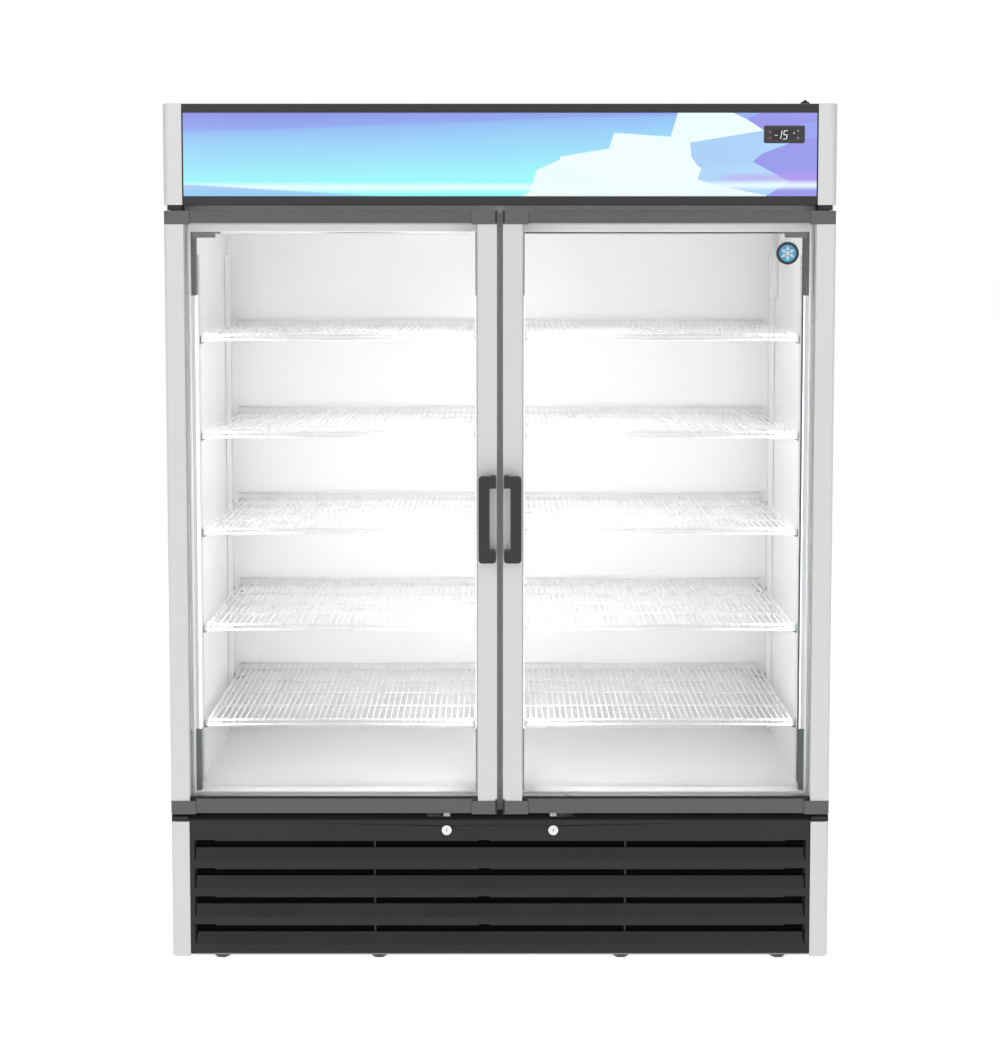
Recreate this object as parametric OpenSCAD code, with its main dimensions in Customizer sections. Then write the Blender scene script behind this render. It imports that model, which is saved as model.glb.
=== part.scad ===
// Two-door glass merchandiser: an insulated cabinet with a backlit header, hinged glass doors, wire shelves
// and a refrigeration unit below. X runs across the front, the doors face -Y, and z = 0 is the floor.

/* [Cabinet] */
// Width across the side panels
cabinet_w = 1540; // [1440:10:1640]
// Height from the floor to the top panel
cabinet_h = 1994; // [1980:1:2040]
// Depth from the face frame to the back panel
cabinet_d = 690; // [670:10:740]
// Side wall, from the outer skin to the liner's inner face
side_wall = 52; // [46:1:60]
// Back wall, from the liner's inner face to the outer skin
back_wall = 67; // [50:1:80]
// Thickness of the sheet metal skins
skin_t = 1; // [0.8:0.2:2]
// Top of the machine compartment, where the insulated floor begins
machine_top = 345; // [340:1:350]
// Thickness of the insulated floor
floor_t = 41; // [36:1:46]

/* [Header] */
// Height of the lit header
header_h = 230; // [200:5:240]
// Open gap between the doors and the header
header_gap = 13; // [13:1:20]
// Height of the sign frame's top and bottom rails
sign_rail = 20; // [14:1:26]
// Width of the silver caps at the corners
cap_w = 44; // [40:1:50]

/* [Doors] */
// Thickness of a door frame
door_t = 42; // [40:1:46]
// Gap between a door and the face frame, which the gasket fills
door_gap = 10; // [8:0.5:14]
// Gap between the two doors
centre_gap = 13; // [8:1:20]
// Width of the upright stiles
stile_w = 45; // [40:1:50]
// Height of the top rail
top_rail = 28; // [24:1:34]
// Height of the bottom rail
bottom_rail = 34.5; // [30:0.5:40]
// Width and height of a corner piece
corner_size = [59, 31];
// How far the corner pieces stand in front of the frame
corner_proud = 2; // [0:0.5:3]

/* [Handles] */
// Overall height of a handle
handle_h = 200; // [160:10:260]
// How far a handle stands out from its door
handle_reach = 42; // [36:1:50]
// Width of the upright grip
grip_w = 25; // [20:1:28]

/* [Shelves] */
// Shelves behind each door
shelf_count = 5; // [3:1:5]
// Height from one shelf to the next
shelf_pitch = 228.6; // [203.2:12.7:228.6]
// Top of the lowest shelf
shelf_first = 554; // [500:1:570]
// Spacing of the shelf wires
wire_pitch = 14.2; // [12:0.1:30]
// Thickness of a shelf wire
wire_d = 3.2; // [2.5:0.1:4]
// Thickness of the rods that carry the wires
rod_d = 6; // [5:0.5:8]

/* [Hidden] */
SHELF_NODES = [for (s = ["left", "right"], i = [1 : shelf_count]) str("shelf_", s, "_", i)];
DOOR_PIECES = ["stiles", "rails", "corners", "glass", "gasket", "handle", "strike"];
DOOR_NODES = [for (s = ["left", "right"], p = DOOR_PIECES) str("door_", s, "_", p)];

$fn = 64;

// Planes across the depth, from the handle's front to the back panel
total_d = handle_reach + door_t + door_gap + cabinet_d;
handle_y = -total_d / 2;
door_y = handle_y + handle_reach;
door_back = door_y + door_t;
face_y = door_back + door_gap;
face_t = 8;
body_y = face_y + face_t;
back_y = total_d / 2;
rear_y = back_y - skin_t;
wall_y = back_y - back_wall;

// Planes across the width
half_w = cabinet_w / 2;
skin_x = half_w - skin_t;
wall_x = half_w - side_wall;
cap_x = half_w - cap_w;

// Levels
foot_h = 10;
tray_lip = 4;
tray_t = 2;
tray_top = foot_h + tray_lip;
floor_z = machine_top + floor_t;
ceiling_z = 1704;
roof_z = cabinet_h - skin_t;
header_z = cabinet_h - header_h;
door_z0 = machine_top + 2;
door_z1 = header_z - header_gap;
cover_top = machine_top - 16;
sill_z = machine_top - 20;

// Doors: the pieces are drawn for the right door and mirrored for the left
door_x0 = centre_gap / 2;
door_x1 = half_w - 0.5;
rail_z0 = door_z0 + 2;
hinge_x = half_w - 18;
hinge_y = door_y + 20;
pin_r = 5;
pin_play = 0.06;
pin_l = 18;
pane_t = 4;
pane_grip = 8;
gasket_w = 14;
frame_wall = 3;
outer_round = 9;
meeting_round = 3;

// Front interior hardware
mullion_w = 90;
mullion_d = 58;
bar_y = body_y + 2;
bar_d = 20;
bar_t = 9;
lens_t = 3;
bar_end = 148;
pilaster_t = 14;
pilaster_w = 25;
pilaster_z = [400, 1650];
pilaster_front = bar_y + bar_d + 6;
pilaster_rear = wall_y - 63;
centre_x = [28, 42];
shelf_x = [56, wall_x - 25];
shelf_y = [bar_y + bar_d + 4, wall_y - 9];
shelf_drop = 19;
shelf_rods = 3;
clip_h = 14;

// Temperature display on the header
display_x = 648;
display_z = header_z + 160;
display_size = [93, 40];
button_r = 3;
button_x = display_x + 31;
button_dz = 8;
button_out = 0.6;

// Outlet for the power cable
outlet_at = [600, 120];
outlet_r = 5;
outlet_collar = 12;
outlet_wall = 3;

// Locks in the grille panel
lock_x = 124.5;
lock_z = machine_top - 36;
lock_r = 11.5;
barrel_r = 10;
plug_r = 6;
plug_play = 0.06;
barrel_back = door_y + 13;
cam_l = 35;
cam_w = 10;
cam_t = 3;
strike_w = 15;

// Grille panel
panel_t = 12;
grille_top = machine_top - 2;
slot_count = 4;
slot_pitch = 67.2;
slot_first = 265.5;
slot_h = 17;
slot_recess = 8;
slot_slope = 29;
slot_x = 715;
slot_end = [5, 1.5];
notch_h = 2.7;
end_notch_w = 48;
mid_notch = [-50, -24];

// Refrigeration unit
fan_r = 95;
fan_x = 340;
fan_y = body_y + 200;
fan_z = ceiling_z + 24;
opening_r = 105;
shaft_r = 4;
shaft_play = 0.05;
cooler_x = 620;
cooler_y = [body_y + 90, body_y + 530];
coil_y = body_y + 320;
condenser_x = 200;
condenser_y = door_y + 88;
condenser_z = [45, 315];
condenser_fan_r = 110;
condenser_fan_y = condenser_y + 82;
condenser_mid = (condenser_z[0] + condenser_z[1]) / 2;
compressor_at = [-470, 150];

function arc(centre, r, from, to, steps = 8) =
    [for (i = [0 : steps]) centre + r * [cos(from + (to - from) * i / steps), sin(from + (to - from) * i / steps)]];

function rounded(low, high, r) = concat(
    arc(low + [r, r], r, 180, 270),
    arc([high[0] - r, low[1] + r], r, 270, 360),
    arc(high - [r, r], r, 0, 90),
    arc([low[0] + r, high[1] - r], r, 90, 180));

module block(low, high) translate(low) cube(high - low);

module both_sides() {
    children();
    mirror([1, 0, 0]) children();
}

module on_side(s) mirror([s < 0 ? 1 : 0, 0, 0]) children();

// Extrudes an outline drawn in X and Z along Y
module plate(y0, y1) translate([0, y1, 0]) rotate([90, 0, 0]) linear_extrude(y1 - y0) children();

// Extrudes an outline drawn in Y and Z along X
module bar_along_x(x0, x1) translate([x0, 0, 0]) rotate([90, 0, 90]) linear_extrude(x1 - x0) children();

module rod_y(at, y0, y1, r) translate([at[0], y1, at[1]]) rotate([90, 0, 0]) cylinder(h = y1 - y0, r = r);

// ---- Cabinet shell ----

module side_panels() color("gainsboro")
    both_sides() block([skin_x, body_y, foot_h], [half_w, rear_y, roof_z]);

// The outlet for the power cable has a collar on the inside
module back_panel() color("gainsboro")
    difference() {
        union() {
            block([-half_w, rear_y, foot_h], [half_w, back_y, roof_z]);
            rod_y(outlet_at, rear_y - outlet_collar, rear_y + skin_t / 2, outlet_r + outlet_wall);
        }
        for (x = [-500, 200], row = [0 : 7])
            block([x, rear_y - 1, 90 + row * 26], [x + 300, back_y + 1, 98 + row * 26]);
        rod_y(outlet_at, rear_y - outlet_collar - 1, back_y + 1, outlet_r);
    }

module top_panel() color("gainsboro") {
    union() {
        block([-half_w, face_y, roof_z], [half_w, back_y, cabinet_h]);
        block([-cap_x, door_y + 4, roof_z], [cap_x, face_y + 1, cabinet_h]);
    }
    dome_r = 13;
    dome_h = 5;
    translate([698, door_y + 24, cabinet_h]) {
        union() {
            cylinder(h = dome_h, r1 = dome_r, r2 = dome_r - 4);
            cylinder(h = dome_h + 4, r = 4);
        }
    }
}

module insulation() color("khaki") {
    foam_x = wall_x + skin_t;
    both_sides() block([foam_x, body_y, machine_top], [skin_x, rear_y, roof_z]);
    block([-foam_x, wall_y + skin_t, machine_top], [foam_x, rear_y, roof_z]);
    block([-foam_x, body_y, machine_top], [foam_x, wall_y + skin_t, floor_z - skin_t]);
    block([-foam_x, body_y + 40, roof_z - 50], [foam_x, wall_y + skin_t, roof_z]);
    block([-foam_x, body_y, ceiling_z + skin_t], [foam_x, body_y + 40, roof_z]);
}

module liner() color("white") {
    both_sides() block([wall_x, body_y, floor_z - skin_t], [wall_x + skin_t, wall_y, ceiling_z + skin_t]);
    block([-wall_x - skin_t, wall_y, floor_z - skin_t], [wall_x + skin_t, wall_y + skin_t, ceiling_z + skin_t]);
    block([-wall_x, body_y, floor_z - skin_t], [wall_x, wall_y, floor_z]);
    difference() {
        block([-wall_x, body_y, ceiling_z], [wall_x, wall_y, ceiling_z + skin_t]);
        block([-cooler_x, cooler_y[0], ceiling_z - 1], [cooler_x, cooler_y[1], ceiling_z + skin_t + 1]);
    }
}

module face_frame() color("silver") {
    both_sides() block([wall_x, face_y, tray_top], [half_w, body_y, roof_z]);
    block([-wall_x, face_y, ceiling_z + 1], [wall_x, body_y, roof_z]);
    block([-wall_x, face_y, sill_z], [wall_x, body_y, floor_z]);
}

module mullion() color("darkgray")
    difference() {
        block([-mullion_w / 2, face_y, floor_z], [mullion_w / 2, face_y + mullion_d, ceiling_z]);
        block([-mullion_w / 2 + 2, face_y + 2, floor_z - 1], [mullion_w / 2 - 2, face_y + mullion_d - 2, ceiling_z + 1]);
    }

// ---- Header ----

module corner_profile() {
    r = 16;
    front = door_y - corner_proud;
    polygon(concat([[cap_x, face_y], [cap_x, front]], arc([half_w - r, front + r], r, -90, 0), [[half_w, face_y]]));
}

module header_caps() color("lightgray")
    both_sides() translate([0, 0, header_z]) linear_extrude(header_h) corner_profile();

module sign_frame() color("dimgray")
    difference() {
        block([-cap_x, door_y, header_z], [cap_x, face_y, roof_z]);
        block([-cap_x + 3, door_y - 1, header_z + sign_rail], [cap_x - 3, face_y - skin_t, roof_z - sign_rail]);
    }

module sign_panel() color("lightskyblue")
    difference() {
        block([-cap_x + 3, door_y + 2, header_z + sign_rail], [cap_x - 3, door_y + 5, roof_z - sign_rail]);
        block([display_x - 42, door_y, display_z - 17], [display_x + 42, door_y + 6, display_z + 17]);
    }

module sign_light() color("white") {
    tray_x = 690;
    led_count = 24;
    led_pitch = 2 * tray_x / led_count;
    back = face_y - skin_t;
    mid_z = header_z + header_h / 2;
    union() {
        block([-tray_x, back - 8, mid_z - 12], [tray_x, back, mid_z + 12]);
        for (i = [0 : led_count - 1])
            translate([-tray_x + (i + 0.5) * led_pitch - 8, back - 12, mid_z - 8]) cube([16, 5, 16]);
    }
}

module display_housing() color([0.15, 0.15, 0.16]) {
    half = display_size / 2;
    front = door_y - 2;
    difference() {
        union() {
            plate(front, door_y + 2)
                polygon(rounded([display_x, display_z] - half, [display_x, display_z] + half, 4));
            block([display_x - 41, door_y + 1, display_z - 16], [display_x + 41, door_y + 24, display_z + 16]);
        }
        block([display_x - 26, front - 1, display_z - 12], [display_x + 22, front + 1.5, display_z + 12]);
        for (s = [-1, 1])
            rod_y([button_x, display_z + s * button_dz], front - 1, front + 7, button_r + 0.3);
    }
}

module display_window() color([0.05, 0.05, 0.05])
    block([display_x - 26, door_y - 1.8, display_z - 12], [display_x + 22, door_y - 0.5, display_z + 12]);

module button(s) color("lightgray")
    rod_y([button_x, display_z + s * button_dz], door_y - 2 - button_out, door_y + 2, button_r);

// ---- Hinges ----

module hinge_brackets() color([0.12, 0.12, 0.12])
    both_sides() {
        union() {
            block([half_w - 41, door_y + 5, door_z1 + 2], [half_w - 9, face_y, header_z]);
            translate([hinge_x, hinge_y, door_z1 + 3 - pin_l]) cylinder(h = pin_l, r = pin_r);
        }
        union() {
            bar_along_x(half_w - 42, half_w - 2)
                polygon([[door_y + 4, cover_top], [face_y, cover_top], [face_y, machine_top],
                    [door_y + 10, machine_top], [door_y + 4, machine_top - 6]]);
            translate([hinge_x, hinge_y, machine_top - 1]) cylinder(h = pin_l, r = pin_r);
        }
    }

// ---- Shelving ----

// A rolled channel, closed to a tube
module pilaster_bar(low, high) difference() {
    block([low[0], low[1], pilaster_z[0]], [high[0], high[1], pilaster_z[1]]);
    block([low[0] + 1.5, low[1] + 1.5, pilaster_z[0] - 1], [high[0] - 1.5, high[1] - 1.5, pilaster_z[1] + 1]);
}

module pilasters() color("whitesmoke")
    both_sides() {
        for (y = [pilaster_front, pilaster_rear])
            pilaster_bar([wall_x - pilaster_t, y], [wall_x, y + pilaster_w]);
        for (y = [face_y + mullion_d, wall_y - pilaster_t])
            pilaster_bar([centre_x[0], y], [centre_x[1], y + pilaster_t]);
    }

function shelf_top(i) = shelf_first + i * shelf_pitch;

module shelf_clips() color("gray")
    both_sides() for (i = [0 : shelf_count - 1]) {
        top = shelf_top(i) - wire_d - rod_d;
        for (y = [pilaster_front, pilaster_rear])
            block([shelf_x[1] - 9, y + 4, top - clip_h], [wall_x - pilaster_t, y + 20, top]);
        block([centre_x[0], face_y + mullion_d + pilaster_t, top - clip_h],
            [shelf_x[0] + 6, face_y + mullion_d + pilaster_t + 12, top]);
        block([centre_x[0], wall_y - pilaster_t - 12, top - clip_h],
            [shelf_x[0] + 6, wall_y - pilaster_t, top]);
    }

module shelf(s, i) color("white")
    on_side(s) translate([0, 0, shelf_top(i)]) {
        slots = floor((shelf_x[1] - shelf_x[0] - wire_d) / wire_pitch);
        pitch = (shelf_x[1] - shelf_x[0] - wire_d) / slots;
        rod_gap = (shelf_y[1] - shelf_y[0] - rod_d) / (shelf_rods + 1);
        union() {
            translate([0, 0, -wire_d]) linear_extrude(wire_d) difference() {
                translate([shelf_x[0], shelf_y[0]]) square([shelf_x[1] - shelf_x[0], shelf_y[1] - shelf_y[0]]);
                for (k = [0 : slots - 1])
                    translate([shelf_x[0] + wire_d + k * pitch, shelf_y[0] + rod_d])
                        square([pitch - wire_d, shelf_y[1] - shelf_y[0] - 2 * rod_d]);
            }
            for (k = [0 : shelf_rods + 1])
                translate([shelf_x[0], shelf_y[0] + k * rod_gap, -wire_d - rod_d])
                    cube([shelf_x[1] - shelf_x[0], rod_d, rod_d]);
            for (x = [shelf_x[0], shelf_x[1] - rod_d])
                translate([x, shelf_y[0], -wire_d - rod_d]) cube([rod_d, shelf_y[1] - shelf_y[0], rod_d]);
            for (x = [shelf_x[0], shelf_x[1] - rod_d])
                translate([x, shelf_y[0], -shelf_drop]) cube([rod_d, rod_d, shelf_drop - wire_d]);
            translate([shelf_x[0], shelf_y[0], -shelf_drop]) cube([shelf_x[1] - shelf_x[0], rod_d, rod_d]);
        }
    }

// ---- Interior lights: an upright bar at each side of each opening ----

// Draws its children once at the side wall and once at the mullion, with x measured from that surface
module at_light_bars() both_sides() {
    translate([wall_x, 0, 0]) mirror([1, 0, 0]) children();
    translate([mullion_w / 2, 0, 0]) children();
}

module light_bars() color([0.3, 0.3, 0.31])
    at_light_bars() union() {
        block([0, bar_y, floor_z], [bar_t, bar_y + bar_d, ceiling_z]);
        for (z = [floor_z, ceiling_z - bar_end])
            block([bar_t - 1, bar_y, z], [bar_t + lens_t, bar_y + bar_d, z + bar_end]);
    }

module light_lenses() color("white")
    at_light_bars()
        block([bar_t, bar_y + 1, floor_z + bar_end], [bar_t + lens_t, bar_y + bar_d - 1, ceiling_z - bar_end]);

// ---- Base and machine compartment ----

module foot_places() both_sides() for (x = [285, 655], y = [face_y - 24, back_y - 32]) translate([x, y, 0]) children();

module base_tray() color("silver")
    difference() {
        union() {
            block([-skin_x, face_y, tray_top - tray_t], [skin_x, rear_y, tray_top]);
            block([-cap_x, door_y + 4, tray_top - tray_t], [cap_x, face_y + 1, tray_top]);
            block([-cap_x, door_y + 4, foot_h], [cap_x, door_y + 6, tray_top]);
            both_sides() block([skin_x - tray_t, body_y, foot_h], [skin_x, rear_y, tray_top + 30]);
        }
        foot_places() translate([0, 0, foot_h]) cylinder(h = tray_lip + 1, r = 5.2);
    }

module lower_covers() color("lightgray")
    both_sides() translate([0, 0, 7]) linear_extrude(cover_top - 7) corner_profile();

module feet() color("gray")
    foot_places() union() {
        cylinder(h = tray_top - tray_t, r = 18, $fn = 6);
        cylinder(h = tray_top + 28, r = 5);
    }

module grille_strip(z0, z1, recessed)
    bar_along_x(-slot_x - 1, slot_x + 1)
        polygon(concat(
            [[door_y + panel_t, z0], [door_y, z0]],
            recessed ? [[door_y, z1 - slot_slope], [door_y + slot_recess, z1]] : [[door_y, z1]],
            [[door_y + panel_t, z1]]));

// The gap at the outer end of a recessed strip narrows downward
module strip_end(z) translate([0, door_y + panel_t + 1, 0]) rotate([90, 0, 0]) linear_extrude(panel_t + 2)
    polygon([[slot_x, z + 1], [slot_x - slot_end[0], z + 1], [slot_x - slot_end[1], z - slot_slope],
        [slot_x, z - slot_slope]]);

// Finger notches cut into the edge above a slot
module slot_notches(z) {
    both_sides() block([slot_x - end_notch_w, door_y - 1, z - 1], [slot_x, door_y + slot_recess, z + notch_h]);
    block([mid_notch[0], door_y - 1, z - 1], [mid_notch[1], door_y + slot_recess, z + notch_h]);
}

module grille() color([0.22, 0.22, 0.23]) {
    back = door_y + panel_t;
    floors = [for (k = [0 : slot_count - 1]) slot_first - k * slot_pitch];
    difference() {
        union() {
            for (k = [0 : slot_count - 2])
                grille_strip(floors[k + 1] + slot_h, floors[k], true);
            grille_strip(tray_top, floors[slot_count - 1], true);
            bar_along_x(-cap_x, cap_x)
                polygon([[door_y, floors[0] + slot_h], [back, floors[0] + slot_h], [back, grille_top - 2],
                    [face_y - 2, grille_top - 2], [face_y - 2, grille_top], [back, grille_top],
                    [door_y, grille_top - 10]]);
            both_sides() block([slot_x, door_y, tray_top], [cap_x, back, floors[0] + slot_h + 1]);
            both_sides() block([291, back - 1, tray_top], [296, back + 10, floors[0] + slot_h + 20]);
        }
        for (z = floors) {
            both_sides() strip_end(z);
            slot_notches(z + slot_h);
        }
        both_sides() {
            rod_y([lock_x, lock_z], door_y - 1, back + 1, barrel_r + 0.2);
            block([lock_x - cam_w, door_y + 6, cover_top], [lock_x + 48, door_y + 28, grille_top + 1]);
            block([lock_x - cam_w, door_y - 1, grille_top - 5], [lock_x + cam_w, door_y + 7, grille_top + 1]);
        }
    }
}

module lock_bodies() color("white")
    both_sides() difference() {
        union() {
            rod_y([lock_x, lock_z], door_y - 3, door_y, lock_r);
            rod_y([lock_x, lock_z], door_y - 1, barrel_back, barrel_r);
        }
        rod_y([lock_x, lock_z], door_y - 4, barrel_back + 1, plug_r + plug_play);
    }

module lock_plug(s) color("silver")
    on_side(s) difference() {
        rod_y([lock_x, lock_z], door_y - 3.5, barrel_back + 1, plug_r);
        block([lock_x - 0.8, door_y - 4, lock_z - 4], [lock_x + 0.8, door_y + 6, lock_z + 4]);
    }

// The cam lies flat while the lock is open, and points outward
module lock_cam(s) color("gray")
    on_side(s)
        block([lock_x - cam_w / 2, barrel_back + 1, lock_z - cam_w / 2],
            [lock_x + cam_l, barrel_back + 1 + cam_t, lock_z + cam_w / 2]);

module compressor() color([0.1, 0.1, 0.1])
    translate([compressor_at[0], compressor_at[1], 0]) union() {
        can_r = 80;
        can_top = 235;
        dome = 40;
        rotate_extrude() polygon(concat(
            [[0, 60]], arc([can_r - dome, 60 + dome], dome, -90, 0), arc([can_r - dome, can_top - dome], dome, 0, 90),
            [[0, can_top]]));
        difference() {
            block([-110, -90, 44], [110, 90, 62]);
            block([-96, -91, 48], [96, 91, 58]);
        }
        for (x = [-95, 95], y = [-72, 72])
            translate([x, y, tray_top]) cylinder(h = 31, r = 13);
    }

// A finned block, with flat end plates above and below the fins
module finned(low, high, pitch, fin) difference() {
    gaps = floor((high[0] - low[0] - fin) / pitch);
    step = (high[0] - low[0] - fin) / gaps;
    block(low, high);
    for (k = [0 : gaps - 1])
        block([low[0] + fin + k * step, low[1] - 1, low[2] + 4], [low[0] + (k + 1) * step, high[1] + 1, high[2] - 4]);
}

module condenser() color("darkgray") {
    mid = [0, condenser_mid];
    shroud_y = condenser_y + 40;
    motor_y = condenser_fan_y + 24;
    union() {
        finned([-condenser_x, condenser_y, condenser_z[0]], [condenser_x, shroud_y, condenser_z[1]], 14, 2);
        difference() {
            block([-condenser_x, shroud_y - 0.5, condenser_z[0]], [condenser_x, condenser_fan_y - 10, condenser_z[1]]);
            rod_y(mid, shroud_y - 1, condenser_fan_y, condenser_fan_r + 8);
        }
        both_sides() for (z = [condenser_z[0] + 10, condenser_z[1] - 16]) {
            block([130, condenser_fan_y - 11, z], [136, motor_y + 6, z + 6]);
        }
        for (z = [condenser_z[0] + 10, condenser_z[1] - 16])
            block([-136, motor_y, z], [136, motor_y + 6, z + 6]);
        block([-4, motor_y, condenser_z[0] + 10], [4, motor_y + 6, condenser_z[1] - 10]);
        rod_y(mid, motor_y - 4, motor_y + 50, 38);
        rod_y(mid, condenser_fan_y - 12, motor_y, shaft_r);
    }
    both_sides() block([condenser_x - 20, condenser_y, tray_top], [condenser_x, condenser_y + 60, condenser_z[0]]);
}

// A fan about the Z axis, its middle at the origin
module fan(r, blades, chord, hub_h) {
    hub_r = r * 0.28;
    difference() {
        union() {
            translate([0, 0, -hub_h / 2]) cylinder(h = hub_h, r = hub_r);
            for (i = [0 : blades - 1]) rotate([0, 0, i * 360 / blades]) intersection() {
                translate([hub_r * 0.8, 0, 0]) rotate([30, 0, 0]) translate([0, -chord / 2, -1]) cube([r, chord, 2]);
                translate([0, 0, -chord]) cylinder(h = 2 * chord, r = r);
            }
        }
        translate([0, 0, -hub_h]) cylinder(h = 2 * hub_h, r = shaft_r + shaft_play);
    }
}

module condenser_fan() color("dimgray")
    translate([0, condenser_fan_y, condenser_mid]) rotate([90, 0, 0]) fan(condenser_fan_r, 5, 46, 20);

module evaporator_coil() color("silver") {
    union() {
        finned([-460, coil_y, ceiling_z + skin_t], [460, coil_y + 150, ceiling_z + 160], 20, 2.5);
        both_sides() for (y = [coil_y + 30, coil_y + 90], z = [ceiling_z + 40, ceiling_z + 80, ceiling_z + 120])
            translate([458, y, z]) rotate([0, 90, 0]) cylinder(h = 24, r = 6);
    }
}

module evaporator_cover() color("whitesmoke") {
    motor_z = fan_z + 20;
    union() {
        difference() {
            block([-cooler_x, cooler_y[0], ceiling_z], [cooler_x, cooler_y[1], ceiling_z + skin_t]);
            both_sides() translate([fan_x, fan_y, ceiling_z - 1]) cylinder(h = skin_t + 2, r = opening_r);
            for (k = [0 : 9])
                block([-440 + k * 90, coil_y + 20, ceiling_z - 1], [-400 + k * 90, coil_y + 40, ceiling_z + 3]);
        }
        both_sides() translate([fan_x, fan_y, 0]) {
            block([-opening_r - 8, -5, ceiling_z + 0.5], [-opening_r - 2, 5, motor_z + 6]);
            block([opening_r + 2, -5, ceiling_z + 0.5], [opening_r + 8, 5, motor_z + 6]);
            block([-opening_r - 8, -5, motor_z], [opening_r + 8, 5, motor_z + 6]);
            translate([0, 0, motor_z - 1]) cylinder(h = 46, r = 30);
            translate([0, 0, fan_z - 12]) cylinder(h = 34, r = shaft_r);
        }
    }
}

module evap_fan(s) color("dimgray") translate([s * fan_x, fan_y, fan_z]) fan(fan_r, 5, 40, 18);

// ---- Doors ----

// Stiles and rails are hollow: this is what is left of a width after the walls and the glass groove
function hollow(width) = width - pane_grip - 2 * frame_wall;

// Space that a door's glass unit takes, cut out of its frame as a groove
module glass_space() {
    front = door_y + 6;
    block([door_x0 + stile_w - pane_grip, front, rail_z0 + bottom_rail - pane_grip],
        [door_x1 - stile_w + pane_grip, front + 28, door_z1 - top_rail + pane_grip]);
}

// A block whose upright front edge is rounded, on the hinge side or the meeting side; a core's radius is less by its wall
module eased_block(low, high, outer, wall) {
    r = max(0.5, (outer ? outer_round : meeting_round) - wall);
    translate([0, 0, low[2]]) linear_extrude(high[2] - low[2]) polygon(outer
        ? concat([[low[0], high[1]], [low[0], low[1]]], arc([high[0] - r, low[1] + r], r, -90, 0), [[high[0], high[1]]])
        : concat([[high[0], high[1]], [low[0], high[1]]], arc([low[0] + r, low[1] + r], r, 180, 270), [[high[0], low[1]]]));
}

module door_stiles() color("lightgray") {
    low = door_z0 + corner_size[1];
    high = door_z1 - corner_size[1];
    for (x = [door_x0, door_x1 - stile_w]) difference() {
        outer = x > door_x0;
        core_x = x + frame_wall + (outer ? pane_grip : 0);
        eased_block([x, door_y, low], [x + stile_w, door_back, high], outer, 0);
        glass_space();
        eased_block([core_x, door_y + frame_wall, low - 1],
            [core_x + hollow(stile_w), door_back - frame_wall, high + 1], outer, frame_wall);
    }
}

module door_rail(z, h, core_z) {
    low = door_x0 + corner_size[0];
    high = door_x1 - corner_size[0];
    difference() {
        block([low, door_y, z], [high, door_back, z + h]);
        glass_space();
        block([low - 1, door_y + frame_wall, core_z], [high + 1, door_back - frame_wall, core_z + hollow(h)]);
    }
}

module door_rails() color("dimgray") {
    door_rail(rail_z0, bottom_rail, rail_z0 + frame_wall);
    door_rail(door_z1 - top_rail, top_rail, door_z1 - top_rail + pane_grip + frame_wall);
}

module door_corners() color("dimgray") {
    w = corner_size[0];
    h = corner_size[1];
    for (x = [door_x0, door_x1 - w], z = [door_z0, door_z1 - h]) difference() {
        eased_block([x, door_y - corner_proud, z], [x + w, door_back, z + h], x > door_x0, -corner_proud);
        glass_space();
        translate([hinge_x, hinge_y, door_z0 - 1]) cylinder(h = pin_l + 1, r = pin_r + pin_play);
        translate([hinge_x, hinge_y, door_z1 - pin_l]) cylinder(h = pin_l + 1, r = pin_r + pin_play);
    }
}

module door_glass() color([0.8, 0.9, 0.95, 0.3])
    for (y = [door_y + 6, door_y + 34 - pane_t]) intersection() {
        glass_space();
        block([0, y, 0], [half_w, y + pane_t, cabinet_h]);
    }

module door_gasket() color([0.25, 0.25, 0.25]) {
    low = [door_x0 + 12, door_z0 + 13];
    high = [hinge_x - 18, door_z1 - 13];
    w = gasket_w;
    difference() {
        block([low[0], door_back, low[1]], [high[0], face_y - 0.4, high[1]]);
        block([low[0] + w, door_back - 1, low[1] + w], [high[0] - w, face_y, high[1] - w]);
    }
}

module door_handle() color([0.16, 0.16, 0.17]) {
    x0 = door_x0 + 2.5;
    x1 = x0 + 15;
    x2 = x1 + grip_w;
    z0 = 944;
    z1 = z0 + handle_h;
    foot = 27;
    r = 8;
    union() {
        plate(handle_y, handle_y + 22) polygon(concat(
            arc([x0 + r, z0 + r], r, 180, 270), arc([x2 - r, z0 + r], r, 270, 360),
            arc([x2 - r, z1 - r], r, 0, 90), arc([x0 + r, z1 - r], r, 90, 180),
            [[x0, z1 - foot], [x1, z1 - foot], [x1, z0 + foot], [x0, z0 + foot]]));
        for (z = [z0, z1 - foot])
            plate(handle_y + 21, door_y) polygon(rounded([x0, z], [x1, z + foot], 5));
    }
}

module door_strike() color("silver") {
    x0 = lock_x - strike_w / 2;
    x1 = x0 + strike_w;
    y0 = door_y + 8;
    y1 = y0 + 16;
    difference() {
        block([x0, y0, rail_z0 - 10], [x1, y1, rail_z0]);
        block([x0 - 1, y0 + 2, rail_z0 - 11], [x1 + 1, y1 - 2, rail_z0 - 2.5]);
    }
}

module door_piece(s, piece) on_side(s) {
    if (piece == "stiles") door_stiles();
    if (piece == "rails") door_rails();
    if (piece == "corners") door_corners();
    if (piece == "glass") door_glass();
    if (piece == "gasket") door_gasket();
    if (piece == "handle") door_handle();
    if (piece == "strike") door_strike();
}

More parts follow.
